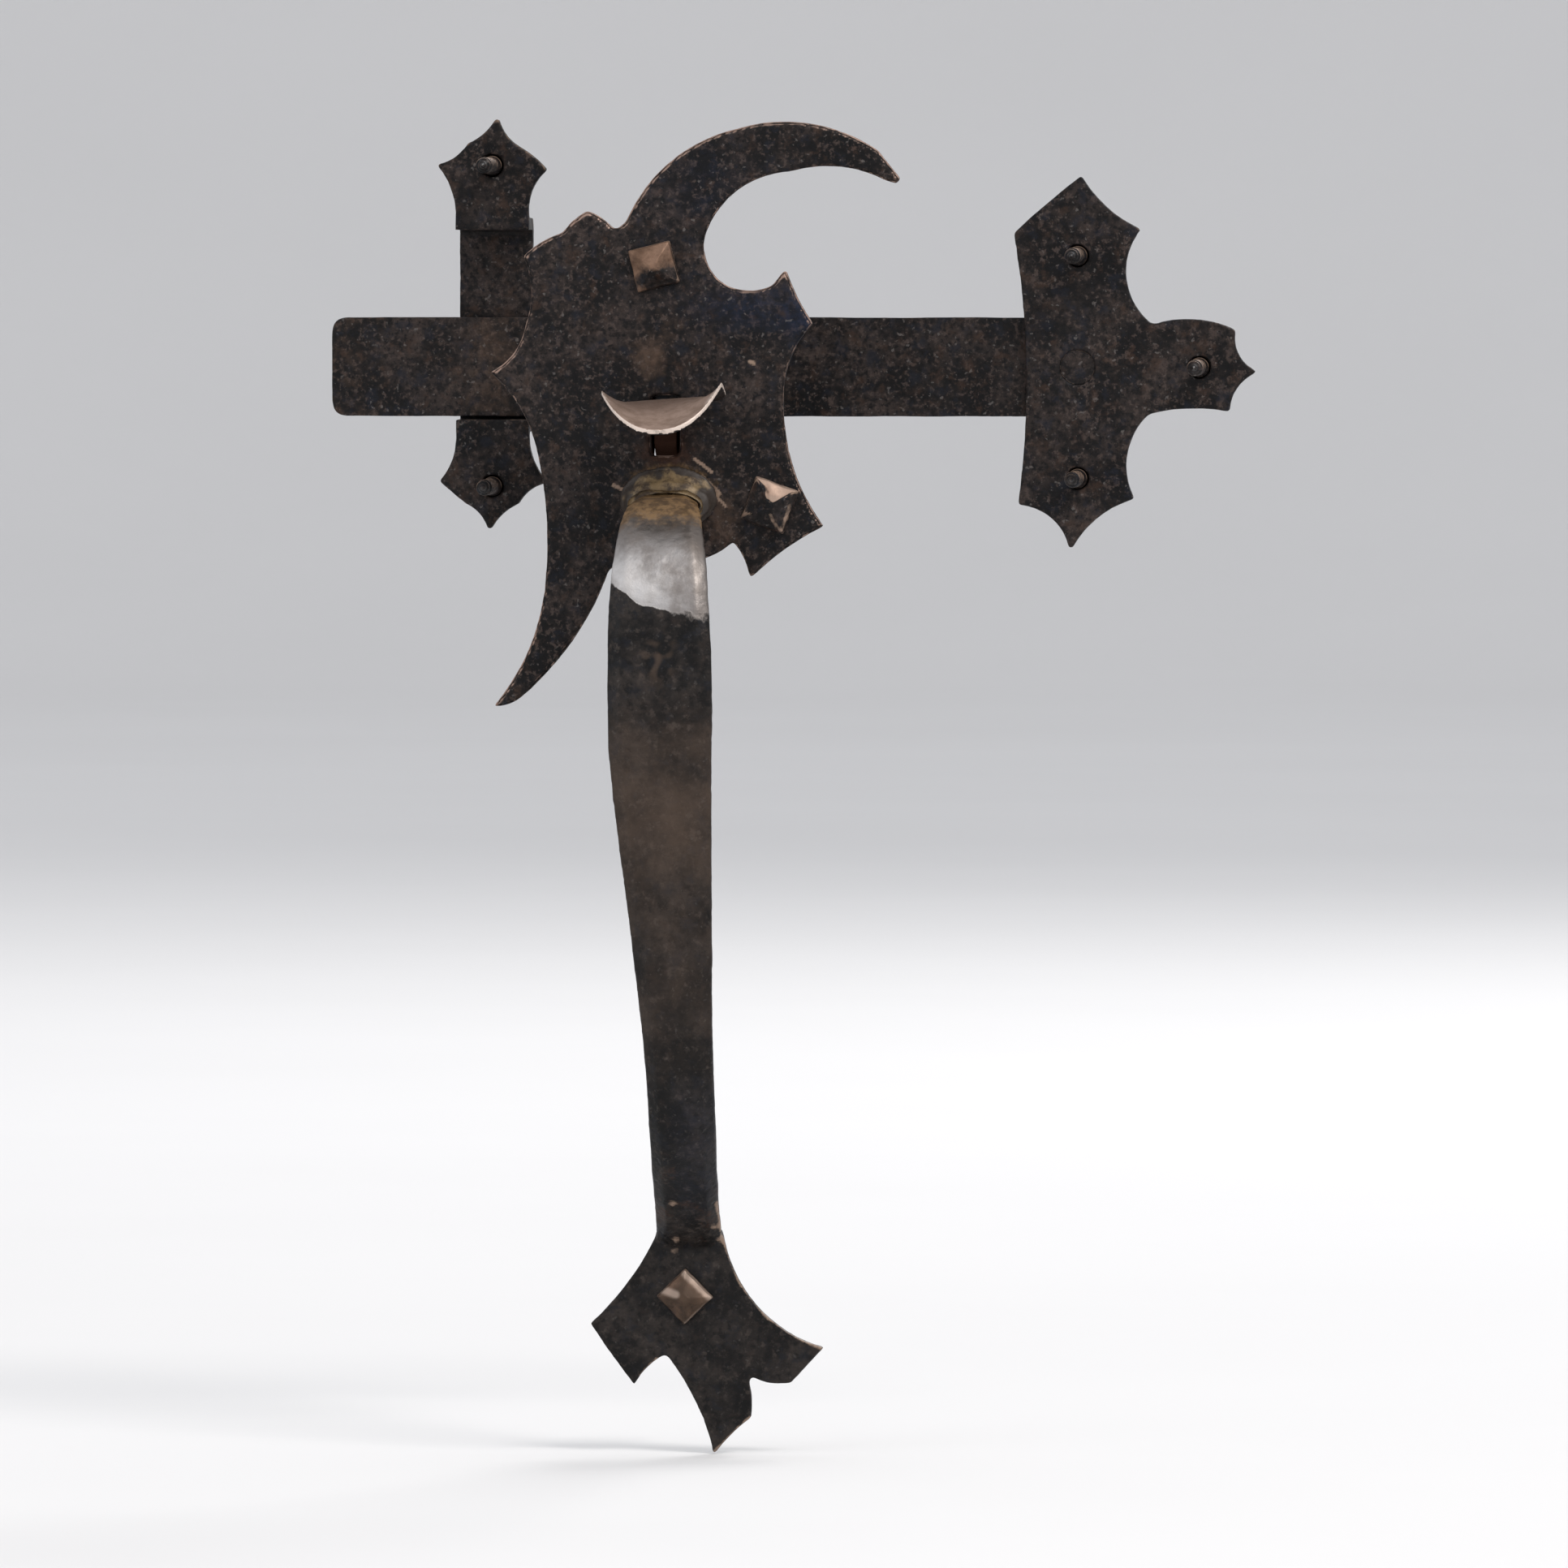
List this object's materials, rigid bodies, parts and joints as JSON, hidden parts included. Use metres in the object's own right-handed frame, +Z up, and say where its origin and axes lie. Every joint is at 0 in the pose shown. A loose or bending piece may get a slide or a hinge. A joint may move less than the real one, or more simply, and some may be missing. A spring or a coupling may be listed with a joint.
{
  "type": "thumb latch",
  "caption": "Hand-wrought thumb latch for a plank door: thorned plate with a horn, strap grip, dished thumb press and the pivoting bar, guide and plates of its inner side.",
  "frame": {"origin": "in the lever slot, on the outer face of the door, in line with the lever and 2 mm above its pivot line", "axes": "+X to the right seen from outside, towards the hinges; +Y into the door; +Z up"},
  "size_m": [0.2216, 0.11, 0.3161],
  "materials": {
    "plate_iron": "blackened hammered wrought iron, worn brown on the upper edges",
    "grip_iron": "blackened wrought iron, rubbed bright at the top bend",
    "lever_iron": "hand-worn wrought iron, bright at the press's rim",
    "bar_iron": "blackened hammered wrought iron",
    "screw_iron": "hammered pyramid heads, blacking worn off the facets",
    "pin_steel": "bare steel, dull",
    "braze_brass": "as-brazed brass, tarnished"
  },
  "bodies": {
    "door_set": {"handle_plate": "plate_iron", "grip": "grip_iron", "braze_collar": "braze_brass", "pivot_cheek_left": "bar_iron", "pivot_cheek_right": "bar_iron", "pivot_pin": "pin_steel", "bar_plate": "bar_iron", "bar_rivet": "screw_iron", "spacer_washer": "pin_steel", "head_washer": "pin_steel", "bar_guide": "bar_iron", "plate_screw_top": "screw_iron", "plate_screw_side": "screw_iron", "foot_screw": "screw_iron", "bar_plate_screw_upper": "screw_iron", "bar_plate_screw_lower": "screw_iron", "bar_plate_screw_end": "screw_iron", "guide_screw_upper": "screw_iron", "guide_screw_lower": "screw_iron"},
    "lever": {"thumb_lever": "lever_iron"},
    "bar": {"latch_bar": "bar_iron"}
  },
  "joints": [
    {"name": "thumb_press", "type": "hinge", "parent": "door_set", "child": "lever", "pos_m": [0, 0.005, -0.002], "axis": [1, 0, 0], "range_deg": [0, 16]},
    {"name": "bar_lift", "type": "hinge", "parent": "door_set", "child": "bar", "pos_m": [0.095, 0.045, 0.008], "axis": [0, 1, 0], "range_deg": [0, 7.65]}
  ],
  "couplings": [
    {"joint": "bar_lift", "follows": "thumb_press", "ratio": 0.478}
  ]
}
